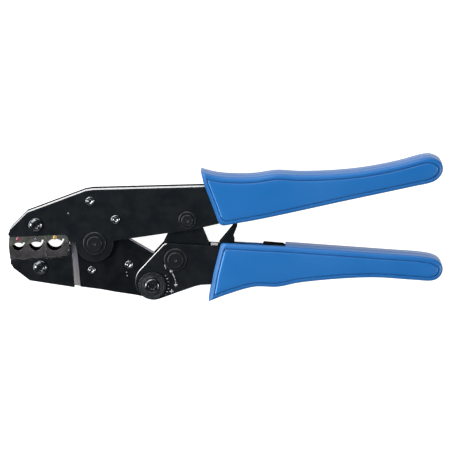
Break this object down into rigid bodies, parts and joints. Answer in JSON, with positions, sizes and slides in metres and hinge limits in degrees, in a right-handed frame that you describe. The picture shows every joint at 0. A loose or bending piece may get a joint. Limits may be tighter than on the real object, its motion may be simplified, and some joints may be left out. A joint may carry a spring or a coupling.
{
  "type": "ratchet crimping tool",
  "caption": "Ratchet crimping tool for insulated terminals, with clamped dies, toothed force adjuster, toggle link and moulded grips.",
  "frame": {"origin": "on the main pivot axis, at the level of the surface the tool lies on (back of the pivot's riveted foot)", "axes": "+X from the jaws towards the handle ends, +Y from the lower handle towards the upper one, +Z through the thickness towards the front face with the adjuster"},
  "size_m": [0.2232, 0.075, 0.0167],
  "materials": {
    "black_steel": "black oxide, satin",
    "bright_steel": "ground",
    "die_steel": "grey hardened steel, satin",
    "spring_steel": "drawn wire",
    "blue_grip": "moulded, semi-gloss"
  },
  "bodies": {
    "frame": {"frame_plate_front": "black_steel", "frame_plate_rear": "black_steel", "frame_core": "bright_steel", "frame_rivet_fore": "black_steel", "frame_rivet_mid": "black_steel", "main_pivot_pin": "black_steel", "main_pivot_washer": "black_steel", "link_pin": "black_steel", "link_pin_collar": "black_steel", "upper_die": "die_steel", "upper_die_screw": "black_steel", "upper_grip": "blue_grip", "spring_post": "bright_steel", "return_spring": "spring_steel"},
    "moving_jaw": {"lower_jaw": "bright_steel", "jaw_side_plate_front": "black_steel", "jaw_side_plate_rear": "black_steel", "jaw_rivet_fore": "black_steel", "jaw_rivet_aft": "black_steel", "lower_die": "die_steel", "lower_die_screw": "black_steel"},
    "lower_handle": {"handle_plate_front": "black_steel", "handle_plate_rear": "black_steel", "handle_spacer": "bright_steel", "spring_anchor": "black_steel", "handle_core": "bright_steel", "handle_rivet_fore": "bright_steel", "handle_rivet_aft": "bright_steel", "pawl_pin": "bright_steel", "toggle_pin": "black_steel", "toggle_pin_collar": "black_steel", "lower_grip": "blue_grip", "pawl_spring": "spring_steel"},
    "toggle_link": {"toggle_link": "black_steel"},
    "pawl": {"ratchet_pawl": "black_steel"},
    "adjuster": {"adjuster_pin": "black_steel", "adjuster_wheel": "black_steel", "adjuster_screw": "black_steel"}
  },
  "joints": [
    {"name": "jaw_pivot", "type": "hinge", "parent": "frame", "child": "moving_jaw", "pos_m": [0, 0, 0.008], "axis": [0, 0, 1], "range_deg": [0, 9.7]},
    {"name": "handle_pivot", "type": "hinge", "parent": "moving_jaw", "child": "lower_handle", "pos_m": [0.0295, -0.0221, 0.008], "axis": [0, 0, -1], "range_deg": [0, 35]},
    {"name": "link_pivot", "type": "hinge", "parent": "frame", "child": "toggle_link", "pos_m": [0.0476, 0.0121, 0.008], "axis": [0, 0, 1], "range_deg": [0, 22.2], "deforming": ["return_spring"]},
    {"name": "pawl_pivot", "type": "hinge", "parent": "lower_handle", "child": "pawl", "pos_m": [0.0676, -0.007, 0.008], "axis": [0, 0, -1], "range_deg": [0, 12], "stiffness_Nm_per_rad": 0.05, "deforming": ["pawl_spring"]},
    {"name": "adjuster_turn", "type": "hinge", "parent": "lower_handle", "child": "adjuster", "pos_m": [0.0295, -0.0221, 0.014], "axis": [0, 0, 1], "continuous": true}
  ],
  "couplings": [
    {"joint": "jaw_pivot", "follows": "handle_pivot", "ratio": 0.2748},
    {"joint": "link_pivot", "follows": "handle_pivot", "ratio": 0.6303}
  ]
}
